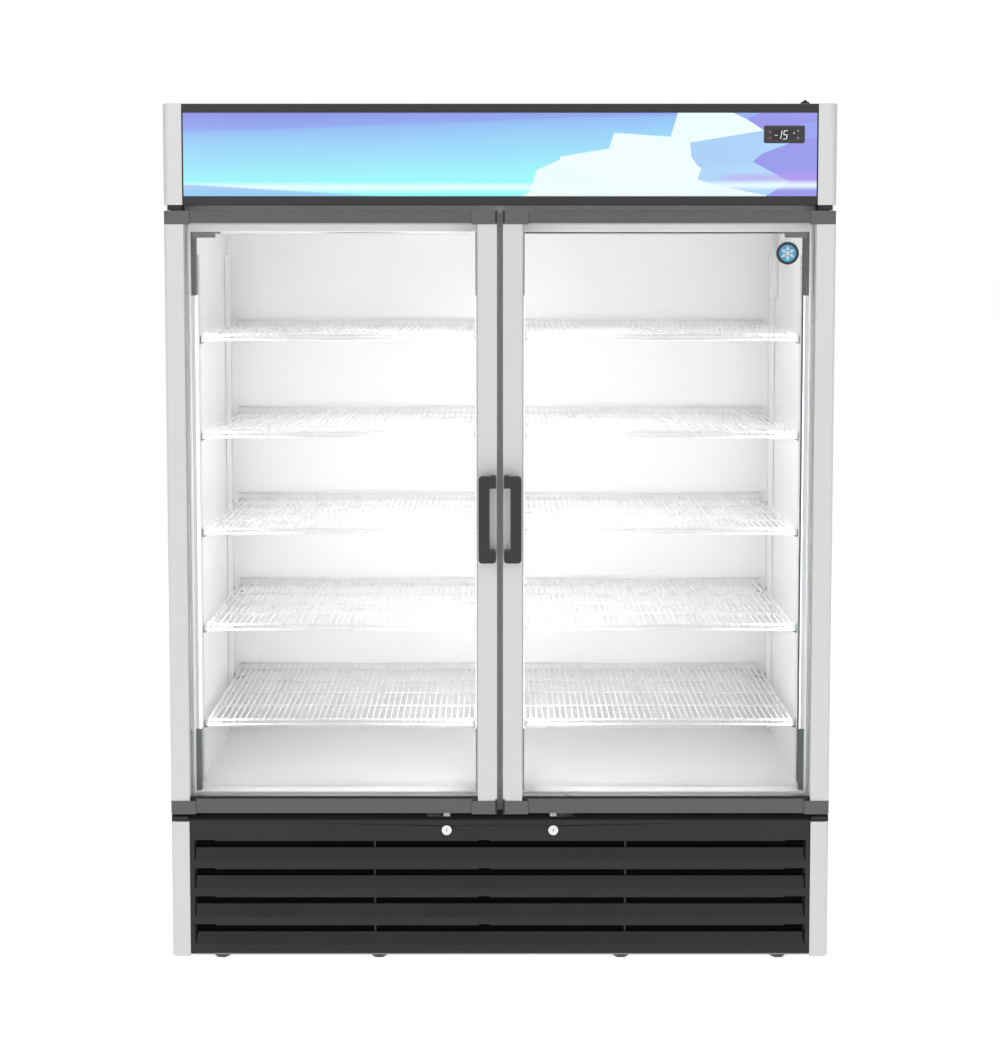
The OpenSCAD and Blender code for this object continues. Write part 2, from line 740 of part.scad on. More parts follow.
side_panels();
back_panel();
top_panel();
insulation();
liner();
face_frame();
mullion();
header_caps();
sign_frame();
sign_panel();
sign_light();
display_housing();
display_window();
button(1);  // button_up
button(-1);  // button_down
hinge_brackets();
pilasters();
shelf_clips();
light_bars();
light_lenses();
base_tray();
lower_covers();
grille();
feet();
compressor();
condenser();
condenser_fan();
evaporator_coil();
evaporator_cover();
evap_fan(-1);  // evap_fan_left
evap_fan(1);  // evap_fan_right
lock_bodies();
lock_plug(-1);  // lock_plug_left
lock_plug(1);  // lock_plug_right
lock_cam(-1);  // lock_cam_left
lock_cam(1);  // lock_cam_right
for (i = [0 : shelf_count - 1]) {
    shelf(-1, i);
    shelf(1, i);
}
for (piece = DOOR_PIECES) {
    door_piece(-1, piece);
    door_piece(1, piece);
}
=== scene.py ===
# %% [markdown]
# # Glass door merchandiser
#
# A tall drinks cabinet with two glass doors, wire shelves, a lit sign over the doors and a
# louvred panel below them. The solids come from the CAD model, in metres, already in place.
# Here they get their finishes, and the finer pieces that CAD leaves out are built around them:
# round shelf wires, slotted pilasters, display digits, glass seals and so on.

# %% Load the cabinet
import math

import bmesh
import bpy
from mathutils import Matrix, Vector


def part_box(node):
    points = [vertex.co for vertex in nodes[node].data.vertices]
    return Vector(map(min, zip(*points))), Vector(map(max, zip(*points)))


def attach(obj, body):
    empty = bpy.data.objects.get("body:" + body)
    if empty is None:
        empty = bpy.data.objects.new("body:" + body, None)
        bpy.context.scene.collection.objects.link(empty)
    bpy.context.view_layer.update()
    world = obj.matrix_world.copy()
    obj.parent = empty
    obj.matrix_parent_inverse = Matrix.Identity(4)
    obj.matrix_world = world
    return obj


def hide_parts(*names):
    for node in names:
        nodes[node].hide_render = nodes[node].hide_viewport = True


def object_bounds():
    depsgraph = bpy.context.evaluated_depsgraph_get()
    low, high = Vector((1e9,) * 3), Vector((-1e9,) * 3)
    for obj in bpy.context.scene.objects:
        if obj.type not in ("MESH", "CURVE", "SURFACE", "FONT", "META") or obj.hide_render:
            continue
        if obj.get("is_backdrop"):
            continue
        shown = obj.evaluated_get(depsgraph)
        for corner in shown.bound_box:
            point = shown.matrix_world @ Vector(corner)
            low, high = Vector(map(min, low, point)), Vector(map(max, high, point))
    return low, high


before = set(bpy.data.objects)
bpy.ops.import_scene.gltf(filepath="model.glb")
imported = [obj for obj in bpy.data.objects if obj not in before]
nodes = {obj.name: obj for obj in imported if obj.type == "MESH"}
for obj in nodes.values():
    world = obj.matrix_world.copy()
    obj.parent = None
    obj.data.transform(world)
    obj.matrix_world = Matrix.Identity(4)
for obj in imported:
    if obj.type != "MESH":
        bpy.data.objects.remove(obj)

cad_low, cad_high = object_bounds()
print("CAD box", [round(v, 4) for v in cad_low], [round(v, 4) for v in cad_high])

# %% [markdown]
# ## Camera
#
# The doors are seen straight on from eye height, 4.45 m in front of them. Eye height is above
# the middle of the cabinet, so a level camera would cut off the feet. A view camera would slide
# its lens down until the upright lines stay upright. Here half of that is a lens shift and half
# is a tilt, because a large shift would push the cabinet out of the picture in other views.

# %% Camera
eye = bpy.data.cameras.new("shop_camera")
eye.sensor_fit = "VERTICAL"
eye.sensor_height = 36.0
eye.sensor_width = 36.0 * 1000 / 1063
eye.lens = 65.67
eye.shift_y = -0.127
tilt = math.radians(4.11)
eye_distance, eye_height = 4.80, 1.645
eye.clip_end = 500.0
camera = bpy.data.objects.new("shop_camera", eye)
camera.location = (0.0, -eye_distance, eye_height)
camera.rotation_euler = (math.radians(90) - tilt, 0.0, 0.0)
bpy.context.scene.collection.objects.link(camera)
bpy.context.scene.camera = camera
bpy.context.scene.view_settings.view_transform = "Standard"
print("camera at", tuple(round(v, 3) for v in camera.location))

# %% [markdown]
# ## Colours and sockets
#
# Colours are easiest to judge as the 0 to 255 greys of a screen, but Blender's sockets want
# light, which grows faster. One small helper turns the first into the second. Another sets
# several sockets of a node in one line, because a finish has many of them.

# %% Screen colour to light
def light(red, green=None, blue=None):
    """Screen values from 0 to 255 as linear light; one value alone is a grey."""
    screen = (red, red, red) if green is None else (red, green, blue)
    return tuple(((v / 255 + 0.055) / 1.055) ** 2.4 if v > 10 else v / 255 / 12.92 for v in screen)


def fill(node, **values):
    """Sets a node's sockets; From_Min stands for the socket From Min."""
    for key, value in values.items():
        node.inputs[key.replace("_", " ")].default_value = value


print("grey 128 is", round(light(128)[0], 3), "in light")

# %% [markdown]
# ## Studio
#
# A white cabinet on a white floor needs little: a pale floor, light from everywhere, and three
# soft boxes. Two stand in front and make the fronts a little brighter than the sides, and one
# behind lights the back. The sky is brighter in front of the cabinet than behind it, so that
# rounded aluminium edges fade as they turn away. The camera itself sees a plain white sky.

# %% Floor
ground = bmesh.new()
bmesh.ops.create_grid(ground, x_segments=8, y_segments=8, size=150.0)
floor_mesh = bpy.data.meshes.new("floor")
ground.to_mesh(floor_mesh)
ground.free()
floor = bpy.data.objects.new("floor", floor_mesh)
bpy.context.scene.collection.objects.link(floor)
floor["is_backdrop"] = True

pale_floor = bpy.data.materials.new("pale_floor")
pale_floor.use_nodes = True
shader = pale_floor.node_tree.nodes["Principled BSDF"]
fill(shader, Base_Color=(0.86, 0.86, 0.86, 1), Roughness=0.85)
fill(shader, Emission_Color=(1, 1, 1, 1), Emission_Strength=0.72)
floor_mesh.materials.append(pale_floor)
print("floor", floor.dimensions[0], "m wide")

# %% Sky and soft boxes
sky = bpy.data.worlds.new("studio_sky")
bpy.context.scene.world = sky
sky.use_nodes = True
tree = sky.node_tree
background = tree.nodes["Background"]
direction = tree.nodes.new("ShaderNodeTexCoord")
split = tree.nodes.new("ShaderNodeSeparateXYZ")
tree.links.new(direction.outputs["Generated"], split.inputs[0])
forward = tree.nodes.new("ShaderNodeMapRange")
fill(forward, From_Min=-1.0, From_Max=0.1, To_Min=0.52, To_Max=0.26)
tree.links.new(split.outputs["Y"], forward.inputs["Value"])
seen = tree.nodes.new("ShaderNodeLightPath")
backdrop = tree.nodes.new("ShaderNodeMix")
backdrop.data_type = "FLOAT"
fill(backdrop, B=1.0)
tree.links.new(seen.outputs["Is Camera Ray"], backdrop.inputs["Factor"])
tree.links.new(forward.outputs["Result"], backdrop.inputs["A"])
tree.links.new(backdrop.outputs["Result"], background.inputs["Strength"])
fill(background, Color=(1, 1, 1, 1))


def soft_box(name, place, aim, width, height, power):
    """A large rectangular lamp at place that faces aim."""
    lamp = bpy.data.lights.new(name, "AREA")
    lamp.shape = "RECTANGLE"
    lamp.size, lamp.size_y, lamp.energy = width, height, power
    holder = bpy.data.objects.new(name, lamp)
    holder.location = place
    holder.rotation_euler = (Vector(aim) - Vector(place)).to_track_quat("-Z", "Y").to_euler()
    bpy.context.scene.collection.objects.link(holder)
    holder.visible_camera = False


soft_box("left_box", (-2.5, -4.9, 3.4), (0, 0, 1.0), 2.6, 2.6, 46)
soft_box("right_box", (2.5, -5.0, 2.6), (0, 0, 1.0), 2.6, 2.6, 24)
soft_box("rear_box", (0.5, 4.5, 3.4), (0, 0, 1.0), 3.0, 2.4, 50)
print("lamps", len(bpy.data.lights))

# %% [markdown]
# ## Finishes that wander a little
#
# No real surface has one flat colour. Paint, moulded plastic and rolled metal each drift a few
# per cent in tone and in gloss, and each has its own fine grain: orange peel in paint, spark
# texture in moulded plastic, long draw lines in extruded aluminium. All three are one recipe
# with other numbers: a broad noise for tone and gloss, and a fine one for the grain. The noise
# reads Object coordinates, which are metres here, so every piece has its grain at true size.

# %% The shared recipe
def wandering(name, tone, gloss, drift=0.05, gloss_drift=0.08, broad=5.0, grain=700.0,
              relief=0.06, along=(1, 1, 1), metal=0.0, specular=0.5):
    """A finish whose tone, roughness and relief all vary; along squeezes the noise per axis."""
    finish = bpy.data.materials.new(name)
    finish.use_nodes = True
    tree = finish.node_tree
    shader = tree.nodes["Principled BSDF"]
    fill(shader, Metallic=metal, Specular_IOR_Level=specular)
    where = tree.nodes.new("ShaderNodeTexCoord")
    squeeze = tree.nodes.new("ShaderNodeMapping")
    fill(squeeze, Scale=along)
    tree.links.new(where.outputs["Object"], squeeze.inputs["Vector"])
    patches = tree.nodes.new("ShaderNodeTexNoise")
    fill(patches, Scale=broad, Detail=5.0)
    tree.links.new(squeeze.outputs["Vector"], patches.inputs["Vector"])
    tint = tree.nodes.new("ShaderNodeMix")
    tint.data_type = "RGBA"
    darker = (*(c * (1 - drift) for c in tone), 1)
    lighter = (*(min(c * (1 + drift), 1.0) for c in tone), 1)
    fill(tint, A=darker, B=lighter)
    tree.links.new(patches.outputs["Fac"], tint.inputs["Factor"])
    tree.links.new(tint.outputs["Result"], shader.inputs["Base Color"])
    sheen = tree.nodes.new("ShaderNodeMapRange")
    fill(sheen, From_Min=0.3, From_Max=0.7)
    fill(sheen, To_Min=max(gloss - gloss_drift, 0.02), To_Max=min(gloss + gloss_drift, 1.0))
    tree.links.new(patches.outputs["Fac"], sheen.inputs["Value"])
    tree.links.new(sheen.outputs["Result"], shader.inputs["Roughness"])
    pores = tree.nodes.new("ShaderNodeTexNoise")
    fill(pores, Scale=grain, Detail=2.0)
    tree.links.new(squeeze.outputs["Vector"], pores.inputs["Vector"])
    emboss = tree.nodes.new("ShaderNodeBump")
    fill(emboss, Strength=relief, Distance=0.0004)
    tree.links.new(pores.outputs["Fac"], emboss.inputs["Height"])
    tree.links.new(emboss.outputs["Normal"], shader.inputs["Normal"])
    return finish


def dress(finish, *names):
    """Puts a finish on CAD nodes."""
    for name in names:
        slots = nodes[name].data.materials
        if len(slots):
            for i in range(len(slots)):
                slots[i] = finish
        else:
            slots.append(finish)
    print(finish.name, "on", ", ".join(names))


# %% [markdown]
# ### Sheet metal
#
# The outer skin is pre-painted sheet with a faint orange peel. The liner and the cover of the
# evaporator are the same sheet in a whiter, smoother paint, because they have to be wiped clean.
# The shared recipe is enough for all of them: only the size of the peel differs. The base tray
# is bare zinc plate, so it gets a strong drift at a small scale, which reads as crystals.

# %% Painted sheet
cabinet_paint = wandering("cabinet_paint", light(206), 0.42, drift=0.03, grain=260, relief=0.10)
dress(cabinet_paint, "side_panels", "back_panel")
liner_paint = wandering("liner_paint", light(243), 0.38, drift=0.015, grain=320, relief=0.05)
dress(liner_paint, "liner")
cover_paint = wandering("cover_paint", light(236), 0.40, drift=0.02, grain=320, relief=0.05)
dress(cover_paint, "evaporator_cover")
tray_zinc = wandering("tray_zinc", light(150), 0.45, drift=0.16, broad=60, grain=500,
                      relief=0.08, metal=0.6)
dress(tray_zinc, "base_tray")

# %% [markdown]
# ### One node, two finishes
#
# The roof panel carries a black cable plug, and each light bar has dark covers at its ends. Both
# are one CAD node with one material, so the material itself has to change over at a height. A
# height mask mixes in the second tone, and the grain stays the shared one.

# %% A second tone above or below a height
def second_tone(finish, tone, *edges):
    """Mixes tone into the base colour wherever z lies past an (edge, direction) pair."""
    tree = finish.node_tree
    shader = tree.nodes["Principled BSDF"]
    height = tree.nodes.new("ShaderNodeSeparateXYZ")
    tree.links.new(tree.nodes["Texture Coordinate"].outputs["Object"], height.inputs[0])
    for edge, direction in edges:
        past = tree.nodes.new("ShaderNodeMath")
        past.operation = "GREATER_THAN" if direction > 0 else "LESS_THAN"
        past.inputs[1].default_value = edge
        tree.links.new(height.outputs["Z"], past.inputs[0])
        change = tree.nodes.new("ShaderNodeMix")
        change.data_type = "RGBA"
        fill(change, B=(*tone, 1))
        tree.links.new(past.outputs[0], change.inputs["Factor"])
        tree.links.new(shader.inputs["Base Color"].links[0].from_socket, change.inputs["A"])
        tree.links.new(change.outputs["Result"], shader.inputs["Base Color"])


roof_paint = wandering("roof_paint", light(206), 0.42, drift=0.03, grain=260, relief=0.10)
second_tone(roof_paint, light(16), (cad_high.z - 0.0088, 1))
dress(roof_paint, "top_panel")
bar_paint = wandering("bar_paint", light(226), 0.42, drift=0.03, grain=420, relief=0.05)
lens_low, lens_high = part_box("light_lenses")
second_tone(bar_paint, light(66), (lens_high.z, 1), (lens_low.z, -1))
dress(bar_paint, "light_bars")

# %% [markdown]
# ### Extruded aluminium
#
# The corner posts of the header and base and the stiles of the doors are extrusions. The die
# leaves fine lines along the length, which is upright here, so the noise is squeezed hard
# across x and y and hardly at all along z. The frame behind the doors is painted, not drawn.

# %% Silver posts and stiles
satin_silver = wandering("satin_silver", light(221), 0.38, drift=0.02, broad=3, grain=60,
                         relief=0.05, along=(14, 14, 0.25), metal=0.15)
dress(satin_silver, "header_caps", "lower_covers", "door_left_stiles", "door_right_stiles")
bright_frame = wandering("bright_frame", light(250), 0.42, drift=0.02, grain=420, relief=0.04)
dress(bright_frame, "face_frame")

# %% [markdown]
# ### Moulded and painted darks
#
# The grille, the door rails and their corner pieces, the handles and the header frame are dark,
# but no two are the same grey. Black plastic in a white studio shows mostly the sky that it
# mirrors, so its own colour stays near black and its gloss decides how grey it looks. The
# mullion and the gaskets are pale, and come from the same recipe.

# %% Dark plastics and paints
grille_plastic = wandering("grille_plastic", light(30), 0.44, drift=0.12, grain=900,
                           relief=0.16, specular=0.42)
dress(grille_plastic, "grille")
header_black = wandering("header_black", light(40), 0.46, drift=0.10, grain=600, relief=0.08)
dress(header_black, "sign_frame")
rail_grey = wandering("rail_grey", light(92), 0.48, drift=0.05, grain=600, relief=0.08)
dress(rail_grey, "door_left_rails", "door_right_rails")
corner_plastic = wandering("corner_plastic", light(98), 0.52, drift=0.06, grain=900, relief=0.14)
dress(corner_plastic, "door_left_corners", "door_right_corners")
handle_plastic = wandering("handle_plastic", light(40), 0.34, drift=0.10, grain=1100, relief=0.12)
dress(handle_plastic, "door_left_handle", "door_right_handle")
mullion_paint = wandering("mullion_paint", light(243), 0.45, drift=0.04, grain=420, relief=0.06)
dress(mullion_paint, "mullion")
hinge_black = wandering("hinge_black", light(22), 0.40, drift=0.15, grain=500, relief=0.10)
dress(hinge_black, "hinge_brackets", "compressor")
housing_grey = wandering("housing_grey", light(104), 0.50, drift=0.05, grain=700, relief=0.08)
gasket_rubber = wandering("gasket_rubber", light(205), 0.72, drift=0.10, grain=350, relief=0.18)
dress(gasket_rubber, "door_left_gasket", "door_right_gasket")
fan_plastic = wandering("fan_plastic", light(34), 0.5, drift=0.12, grain=800, relief=0.12)
dress(fan_plastic, "condenser_fan", "evap_fan_left", "evap_fan_right")

# %% [markdown]
# ### Bright metals
#
# Lock cylinders are chromed, their cams, the door strikes and the levelling feet are zinc
# plated steel, and the coils are thin aluminium fins. The condenser's fins are near-black: partly
# a black coating that condensers often have, partly painted shade that keeps the machine room
# dark behind the slots. Plating shows as crystals again: the same recipe with a strong drift at
# a small scale.

# %% Metals
lock_chrome = wandering("lock_chrome", light(246), 0.22, drift=0.02, gloss_drift=0.04, grain=900,
                        relief=0.02, metal=0.25)
dress(lock_chrome, "lock_bodies")
plug_steel = wandering("plug_steel", light(244), 0.28, drift=0.02, grain=900, relief=0.03, metal=0.25)
dress(plug_steel, "lock_plug_left", "lock_plug_right")
zinc_steel = wandering("zinc_steel", light(168), 0.32, drift=0.14, broad=110, grain=700,
                       relief=0.08, metal=0.9)
dress(zinc_steel, "lock_cam_left", "lock_cam_right", "door_left_strike", "door_right_strike")
foot_steel = wandering("foot_steel", light(84), 0.42, drift=0.20, broad=140, grain=700,
                       relief=0.10, metal=0.5)
dress(foot_steel, "feet")
fin_aluminium = wandering("fin_aluminium", light(188), 0.36, drift=0.08, broad=40, grain=220,
                          relief=0.12, along=(1, 1, 0.2), metal=0.9)
dress(fin_aluminium, "evaporator_coil")
# Near-black condenser fins: a black coating, and painted shade for the machine room behind the slots.
condenser_black_and_shade = wandering("condenser_black_and_shade", light(30), 0.5, drift=0.12, broad=40, grain=220,
                      relief=0.12, along=(1, 1, 0.2))
dress(condenser_black_and_shade, "condenser")

# %% [markdown]
# ### Foam
#
# The walls are filled with poured polyurethane foam. It shows only if a panel is taken off: a
# creamy solid with small closed cells, so its grain is a Voronoi of about 3 mm instead of noise.

# %% Foam
foam_cream = wandering("foam_cream", (0.72, 0.62, 0.38), 0.9, drift=0.10, broad=14, relief=0.3)
tree = foam_cream.node_tree
cells = tree.nodes.new("ShaderNodeTexVoronoi")
fill(cells, Scale=320.0)
tree.links.new(tree.nodes["Texture Coordinate"].outputs["Object"], cells.inputs["Vector"])
tree.links.new(cells.outputs["Distance"], tree.nodes["Bump"].inputs["Height"])
dress(foam_cream, "insulation")

# %% [markdown]
# ## Glass
#
# Each door is a sealed unit of two 4 mm panes. A refracting shader would be true, but it turns
# the lamps inside the cabinet into noise and hides them from their own shadows. A pane this
# thin hardly bends light, so the glass is a mostly clear surface: a low alpha lets the view and
# the lamp light straight through, and what is left gives the faint veil and the gloss. Small
# smears in the roughness keep the veil from being perfectly even.

# %% Door glass
clear_glass = wandering("clear_glass", light(236, 244, 244), 0.05, drift=0.02, gloss_drift=0.03,
                        broad=3, grain=40, relief=0.005)
fill(clear_glass.node_tree.nodes["Principled BSDF"], Alpha=0.03)
clear_glass.surface_render_method = "BLENDED"
dress(clear_glass, "door_left_glass", "door_right_glass")

# %% [markdown]
# ## Lit surfaces
#
# The light bars stand upright at both sides of each opening, behind milky lenses. A lens is
# modelled as a pale surface that glows. A glowing mesh alone would light the inside with a lot
# of noise, so slim lamps that the camera can't see stand just in front of each lens and do the
# real lighting.

# %% Lenses and the tube behind the sign
def glowing(name, colour, strength, gloss=0.35):
    """A milky surface that gives off light evenly; its body tone drifts a little in broad patches."""
    body_tone = tuple(0.8 * c for c in colour)
    finish = wandering(name, body_tone, gloss, drift=0.03, broad=8, grain=400, relief=0.03)
    shader = finish.node_tree.nodes["Principled BSDF"]
    fill(shader, Emission_Color=(*colour, 1), Emission_Strength=strength)
    return finish


milky_lens = glowing("milky_lens", light(250, 252, 255), 1.1)
dress(milky_lens, "light_lenses")
cool_tube = glowing("cool_tube", light(245, 250, 255), 2.0)
dress(cool_tube, "sign_light")

# %% Lamps in front of the lenses
lamp_z = (lens_low.z + lens_high.z) / 2
lamp_h = lens_high.z - lens_low.z
bar_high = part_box("light_bars")[1]
mullion_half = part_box("mullion")[1].x
lamp_y = bar_high.y - 0.004
lamp_w, lamp_inset = 0.012, 0.025
SIDES = ((-1, "left"), (1, "right"))
for side, name in SIDES:
    outer = side * (bar_high.x - lamp_inset)
    inner = side * (mullion_half + lamp_inset)
    middle = side * (bar_high.x + mullion_half) / 2
    soft_box(f"wall_lamp_{name}", (outer, lamp_y, lamp_z), (middle, lamp_y + 0.10, lamp_z),
             lamp_w, lamp_h, 1.3)
    soft_box(f"mullion_lamp_{name}", (inner, lamp_y, lamp_z), (outer, lamp_y + 0.36, lamp_z),
             lamp_w, lamp_h, 3.75)
print("lens lamps", round(lamp_h, 3), "m tall")

# %% [markdown]
# ## Sign
#
# The sign over the doors is a backlit acrylic sheet with a printed picture. This one is a made-up
# winter sky: a blue sky that pales downward to cyan, and ice on the right. The sky is a colour
# ramp on height. The ice comes from a Voronoi texture, whose flat cells are the facets. Asking
# where a cell's own middle lies, instead of where the point lies, keeps every facet whole, so
# the ice has a stepped edge and each facet one tone. A pink blush, a pale streak and a blue
# wave are soft bands, painted over both.

# %% Sign print
sign_print = bpy.data.materials.new("sign_print")
sign_print.use_nodes = True
tree = sign_print.node_tree
shader = tree.nodes["Principled BSDF"]
fill(shader, Roughness=0.18, Emission_Strength=0.9)


def step(kind, inputs=None, **settings):
    """Adds a node to the sign's tree; inputs are sockets to link or plain values."""
    node = tree.nodes.new(kind)
    for key, value in settings.items():
        setattr(node, key, value)
    for key, value in (inputs or {}).items():
        if isinstance(value, bpy.types.NodeSocket):
            tree.links.new(value, node.inputs[key])
        else:
            node.inputs[key].default_value = value
    return node


def reckon(operation, a, b=0.0):
    """One step of arithmetic."""
    return step("ShaderNodeMath", {0: a, 1: b}, operation=operation).outputs[0]


def plus(a, b):
    """a + b"""
    return reckon("ADD", a, b)


def minus(a, b):
    """a - b"""
    return reckon("SUBTRACT", a, b)


def times(a, b):
    """a times b"""
    return reckon("MULTIPLY", a, b)


def ramp(value, stops):
    """A colour ramp from (position, colour) stops."""
    node = step("ShaderNodeValToRGB", {"Fac": value})
    band = node.color_ramp
    while len(band.elements) < len(stops):
        band.elements.new(0.5)
    for element, (position, colour) in zip(band.elements, stops):
        element.position = position
        element.color = (*colour, 1)
    return node.outputs["Color"]


def over(factor, below, above):
    """Paints above on below where factor is 1."""
    return step("ShaderNodeMix", {"Factor": factor, 6: below, 7: above}, data_type="RGBA").outputs[2]


def across(value, low, high, **settings):
    """0 at low and 1 at high."""
    return step("ShaderNodeMapRange", {"Value": value, "From Min": low, "From Max": high},
                **settings).outputs["Result"]


def between(value, low, high):
    """0 at low and 1 at high, eased."""
    return across(value, low, high, interpolation_type="SMOOTHSTEP")


spot = step("ShaderNodeSeparateXYZ", {0: step("ShaderNodeTexCoord").outputs["Object"]})
u = across(spot.outputs["X"], -0.70, 0.70)
v = across(spot.outputs["Z"], 1.784, 1.973)
flat = step("ShaderNodeCombineXYZ", {"X": u, "Y": v}).outputs[0]
swell = step("ShaderNodeTexNoise", {"Vector": flat, "Scale": 1.6, "Detail": 1.0}).outputs["Fac"]
height = plus(minus(v, times(u, 0.22)), times(minus(swell, 0.5), 0.12))
sky_colour = ramp(height, [
    (0.00, light(158, 255, 252)), (0.16, light(160, 248, 254)), (0.34, light(160, 232, 253)),
    (0.60, light(155, 212, 252)), (0.76, light(150, 192, 248)), (0.80, light(147, 170, 242)),
    (0.98, light(140, 148, 231))])

# %% Ice of the sign
facets_u, facets_v, facet_turn = 8.6, 3.0, 0.5


def mapped(vector, turn=0.0, scale=(1, 1, 1)):
    """Scales a vector, then turns it."""
    sockets = {"Vector": vector, "Rotation": (0, 0, turn), "Scale": scale}
    return step("ShaderNodeMapping", sockets).outputs["Vector"]


lean = mapped(flat, facet_turn, (facets_u, facets_v, 1))
facets = step("ShaderNodeTexVoronoi", {"Vector": lean, "Scale": 1.0, "Randomness": 0.9})
middle = mapped(mapped(facets.outputs["Position"], -facet_turn), scale=(1 / facets_u, 1 / facets_v, 1))
cell = step("ShaderNodeSeparateXYZ", {0: middle})
chance = step("ShaderNodeSeparateColor", {0: facets.outputs["Color"]}).outputs["Red"]
crest = minus(cell.outputs["X"], plus(times(cell.outputs["Y"], 0.30), 0.50))
ice = between(crest, -0.02, -0.01)
ice_tone = ramp(plus(cell.outputs["X"], times(minus(chance, 0.5), 0.14)), [
    (0.48, light(206, 250, 253)), (0.60, light(244, 255, 255)), (0.84, light(240, 254, 255)),
    (0.88, light(186, 228, 251)), (0.94, light(152, 186, 247)), (0.99, light(150, 150, 236))])
picture = over(ice, sky_colour, ice_tone)
blush = times(between(u, 0.84, 0.89), between(reckon("ABSOLUTE", minus(v, 0.22)), 0.09, 0.0))
picture = over(times(blush, 0.5), picture, (*light(198, 150, 236), 1))
streak = reckon("ABSOLUTE", minus(v, plus(0.06, times(swell, 0.12))))
picture = over(times(between(streak, 0.075, 0.0), 0.85), picture, (*light(240, 255, 255), 1))
wave = minus(v, minus(0.12, times(u, 0.45)))
picture = over(times(between(wave, 0.03, 0.0), 0.8), picture, (*light(150, 190, 245), 1))
tree.links.new(picture, shader.inputs["Emission Color"])
tree.links.new(over(0.93, picture, (0, 0, 0, 1)), shader.inputs["Base Color"])
dress(sign_print, "sign_panel")

# %% [markdown]
# ## Eased edges
#
# CAD solids have knife edges, which catch no light and look like paper. Real mouldings and
# extrusions have a small radius on every edge. The CAD meshes are loose triangles, so a Weld
# modifier joins them first and a Bevel modifier then rounds each real corner. The angle limit
# leaves the flat seams between triangles and the facets of round parts alone.

# %% Weld and bevel the CAD nodes
def ease_edges(radius, segments, *names):
    """Rounds the corners of CAD nodes with modifiers; their meshes stay as they are."""
    for name in names:
        weld = nodes[name].modifiers.new("join_triangles", "WELD")
        weld.merge_threshold = 0.00002
        bevel = nodes[name].modifiers.new("ease_corners", "BEVEL")
        bevel.width = radius
        bevel.segments = segments
        bevel.limit_method = "ANGLE"
        bevel.angle_limit = math.radians(35)
        bevel.use_clamp_overlap = True
    print(len(names), "nodes eased by", radius * 1000, "mm")


ease_edges(0.0030, 3, "door_left_handle", "door_right_handle")
ease_edges(0.0012, 2, "door_left_corners", "door_right_corners", "header_caps", "lower_covers",
           "display_housing")
ease_edges(0.0008, 2, "door_left_rails", "door_right_rails", "sign_frame", "mullion",
           "hinge_brackets", "grille")
ease_edges(0.0006, 2, "light_bars", "lock_bodies", "door_left_strike", "door_right_strike",
           "button_up", "button_down")

# %% [markdown]
# ## New pieces
#
# Every new piece starts as a bmesh, gets its shape from operators, and ends as an object at the
# origin that rides on one of the cabinet's bodies. Three helpers do most of the making: a bar
# between two corners, a round rod, and a wire that runs and turns.

# %% Directions
X, Y, Z = Vector((1, 0, 0)), Vector((0, 1, 0)), Vector((0, 0, 1))
RIGHT_ANGLE = math.radians(90)


def points(geom):
    """The vertices among what an operator gives back."""
    return [g for g in geom if isinstance(g, bmesh.types.BMVert)]


def facing_front(x, y, z):
    """Moves what lies flat to (x, y, z), standing up with its face to the front."""
    return Matrix.Translation((x, y, z)) @ Matrix.Rotation(RIGHT_ANGLE, 4, "X")


def mirror_left(mesh):
    """Turns a right-hand shape into its left-hand twin."""
    bmesh.ops.scale(mesh, vec=(-1, 1, 1), verts=mesh.verts)
    bmesh.ops.recalc_face_normals(mesh, faces=mesh.faces)


print("a right angle is", round(RIGHT_ANGLE, 4), "radians")

# %% Piece, bar, rod and wire
def add_piece(name, mesh, finish, body, replaces=()):
    """Makes an object of a bmesh; it rides on body and wears finish."""
    shape = bpy.data.meshes.new(name)
    mesh.to_mesh(shape)
    loose = sum(1 for e in mesh.edges if len(e.link_faces) != 2)
    faces = len(mesh.faces)
    mesh.free()
    shape.materials.append(finish)
    piece = bpy.data.objects.new(name, shape)
    bpy.context.scene.collection.objects.link(piece)
    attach(piece, body)
    if replaces:
        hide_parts(*replaces)
    print(name, faces, "faces", f"{loose} open edges" if loose else "closed")
    return piece


def add_bar(mesh, low, high, edge=0.0):
    """A bar between two corners, its edges rounded by edge."""
    low, high = Vector(low), Vector(high)
    place = Matrix.Translation((low + high) / 2) @ Matrix.Diagonal((*(high - low), 1.0))
    made = bmesh.ops.create_cube(mesh, size=1.0, matrix=place)["verts"]
    if edge:
        rims = list({e for vert in made for e in vert.link_edges})
        bmesh.ops.bevel(mesh, geom=rims, offset=edge, segments=2, profile=0.5, affect="EDGES",
                        material=-1)


def add_rod(mesh, middle, about, radius, length, sides=10, turn=0.0):
    """A capped rod round middle: made upright, turned on itself and laid down about an axis."""
    place = Matrix.Translation(middle) @ Matrix.Rotation(RIGHT_ANGLE, 4, about)
    bmesh.ops.create_cone(mesh, cap_ends=True, segments=sides, radius1=radius, radius2=radius,
                          depth=length, matrix=place @ Matrix.Rotation(turn, 4, "Z"))


